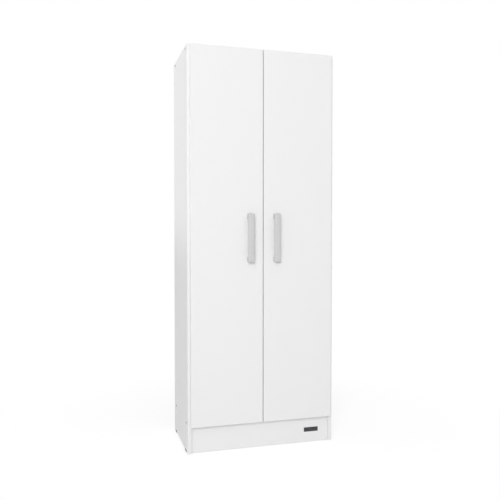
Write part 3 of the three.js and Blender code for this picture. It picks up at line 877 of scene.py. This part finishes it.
def make_back(hardboard, steel):
    """The hardboard back, dimpled where its flat-headed nails are driven flush."""
    sheet_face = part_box("back_sheet")[1].y
    dimples = bmesh.new()
    for x, z in nail_spots():
        bmesh.ops.create_cone(
            dimples,
            cap_ends=True,
            segments=NAIL_STEPS,
            radius1=NAIL_HEAD_RADIUS,
            radius2=2 * NAIL_DIMPLE_RADIUS - NAIL_HEAD_RADIUS,
            depth=2 * NAIL_DIMPLE_DEPTH,
            matrix=Matrix.Translation((x, sheet_face, z)) @ facing("+Y"),
        )
    sheet = carved(merged(nodes["back_sheet"].data), dimples)
    show(
        sheet,
        "dimpled_back",
        hardboard,
        "cabinet",
        "back_sheet",
        crease=DIMPLE_CREASE,
    )
    nail = mesh_of(
        spun(
            [
                (0, 0),
                (NAIL_HEAD_RADIUS, 0),
                (0.9 * NAIL_HEAD_RADIUS, 0.7 * NAIL_HEAD_HEIGHT),
                (0.5 * NAIL_HEAD_RADIUS, NAIL_HEAD_HEIGHT),
                (0, NAIL_HEAD_HEIGHT),
            ],
            NAIL_STEPS,
        ),
        "nail",
    )
    for i, (x, z) in enumerate(nail_spots()):
        mesh = placed(nail, (x, sheet_face - NAIL_DIMPLE_DEPTH, z), facing("+Y"))
        show(mesh, f"back_nail_{i + 1:02d}", steel, "cabinet")


# The bare plate on the plinth

PLATE_CENTRE_X = 213.6 * MM
PLATE_CENTRE_Z = 52.5 * MM
PLATE_WIDTH = 60.5 * MM
PLATE_HEIGHT = 17.6 * MM
PLATE_THICKNESS = 1.2 * MM
PLATE_CORNER_RADIUS = 1.2 * MM
PLATE_CORNER_STEPS = 4
PLATE_SOFTENING = 0.3 * MM


def make_plate(foil):
    """A thin plate with round corners and a softened front edge."""
    half = Vector((PLATE_WIDTH, PLATE_THICKNESS, PLATE_HEIGHT)) / 2
    bm = block(-half, half)
    through = [edge for edge in bm.edges if edge.verts[0].co.y * edge.verts[1].co.y < 0]
    bevelled(bm, through, PLATE_CORNER_RADIUS, PLATE_CORNER_STEPS)
    front_y = WELD_REACH - half.y
    front = [edge for edge in bm.edges if all(vert.co.y < front_y for vert in edge.verts)]
    bevelled(bm, front, PLATE_SOFTENING)
    plinth_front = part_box("plinth")[0].y
    place = (PLATE_CENTRE_X, plinth_front - PLATE_THICKNESS / 2, PLATE_CENTRE_Z)
    mesh = placed(mesh_of(bm, "plate"), place)
    show(mesh, "plinth_plate", foil, "cabinet")


# Studio

WORLD_STRENGTH = 0.535
KEY_PLACE = (-1.96, -4.85, 2.5)
KEY_AIM = (0, 0, 0.8)
KEY_SIZE = 2.0
KEY_WATTS = 112.0
HIGH_PLACE = (-2.5, -6.2, 6.5)
HIGH_SPREAD = radians(40)
HIGH_STRENGTH = 0.22
WASH_PLACE = (-4.0, 1.2, 2.2)
WASH_AIM = (-0.3, 0.02, 3.93)
WASH_CONE = radians(90)
WASH_BLEND = 0.12
WASH_SIZE = 0.1
WASH_WATTS = 127.0
FLOOR_HALF = 14.0
FLOOR_PALE = grey(0.82)
OPEN_FLOOR = 0.75
SHADOW_SHARE = 0.35
SHADOW_REACH = (0.45, 1.3)


def add_lamp(data, watts, place, aim):
    data.energy = watts
    lamp = bpy.data.objects.new(data.name, data)
    way = Vector(aim) - Vector(place)
    lamp.location = place
    lamp.rotation_euler = way.to_track_quat("-Z", "Y").to_euler()
    lamp.visible_camera = False
    lamp.visible_glossy = False
    scene.collection.objects.link(lamp)


def add_lamps():
    """A round softbox left of the camera, a high soft light far off, and a wash over the left
    side's upper half, from behind the doors' plane."""
    key = bpy.data.lights.new("key", "AREA")
    key.shape = "DISK"
    key.size = KEY_SIZE
    add_lamp(key, KEY_WATTS, KEY_PLACE, KEY_AIM)
    high = bpy.data.lights.new("high", "SUN")
    high.angle = HIGH_SPREAD
    add_lamp(high, HIGH_STRENGTH, HIGH_PLACE, (0, 0, 0))
    wash = bpy.data.lights.new("wash", "SPOT")
    wash.spot_size = WASH_CONE
    wash.spot_blend = WASH_BLEND
    wash.shadow_soft_size = WASH_SIZE
    add_lamp(wash, WASH_WATTS, WASH_PLACE, WASH_AIM)


def seen_directly(finish):
    """1 for a ray that shows the backdrop itself, straight or in a reflection."""
    camera, glossy, transmitted = [
        finish.node("ShaderNodeLightPath", output=f"Is {kind} Ray")
        for kind in ("Camera", "Glossy", "Transmission")
    ]
    return camera.most(glossy).most(transmitted)


def light_world():
    world = bpy.data.worlds.new("studio")
    world.use_nodes = True
    scene.world = world
    sky = Finish("studio", world.node_tree)
    plain = {"Color": grey(1.0), "Strength": WORLD_STRENGTH}
    glow = sky.node("ShaderNodeBackground", None, plain)
    white = sky.node("ShaderNodeBackground", None, {"Color": grey(1.0), "Strength": 1.0})
    both = sky.node("ShaderNodeMixShader", None, {0: seen_directly(sky), 1: glow, 2: white})
    sky.node("ShaderNodeOutputWorld", None, {"Surface": both})


def lay_floor():
    """A plain pale floor. Seen directly it is white, with the object's shadow kept near it."""
    bm = bmesh.new()
    bmesh.ops.create_grid(bm, x_segments=1, y_segments=1, size=FLOOR_HALF)
    floor = bpy.data.objects.new("floor", mesh_of(bm, "floor"))
    scene.collection.objects.link(floor)
    finish = Finish("pale_floor")
    paint = finish.node("ShaderNodeBsdfDiffuse", None, {"Color": FLOOR_PALE})
    shade = finish.node("ShaderNodeBsdfDiffuse", None, {"Color": grey(1.0)})
    unshaded = 1 - OPEN_FLOOR
    lift = finish.node("ShaderNodeEmission", None, {"Color": grey(1.0), "Strength": unshaded})
    shaded = finish.node("ShaderNodeAddShader", None, {0: shade, 1: lift})
    white = finish.node("ShaderNodeEmission", None, {"Color": grey(1.0), "Strength": 1.0})
    place = finish.point()
    away = finish.node("ShaderNodeVectorMath", {"operation": "LENGTH"}, {0: place}, output=1)
    share = SHADOW_SHARE * away.falls(*SHADOW_REACH)
    seen = finish.node("ShaderNodeMixShader", None, {0: share, 1: white, 2: shaded})
    both = finish.node("ShaderNodeMixShader", None, {0: seen_directly(finish), 1: paint, 2: seen})
    finish.node("ShaderNodeOutputMaterial", None, {"Surface": both})
    floor.data.materials.append(finish.material)


scene.view_settings.view_transform = "Standard"
set_camera()
dress_boards()
nickel = pressed_steel_finish("nickel", NICKEL_PALE, NICKEL_DARK, (1, 0.15, 1))
zinc = pressed_steel_finish("zinc", ZINC_PALE, ZINC_DARK, (1, 1, 1))
steel = dark_steel_finish()
make_handles(silver_handle_finish())
make_hinges(nickel)
make_handle_screws(zinc)
make_carcass_screws(steel)
make_glides(glide_plastic_finish())
make_shelf_pins(pin_plastic_finish())
make_hinge_screws(zinc)
make_back(hardboard_finish(), steel)
make_plate(plate_finish())
add_lamps()
light_world()
lay_floor()
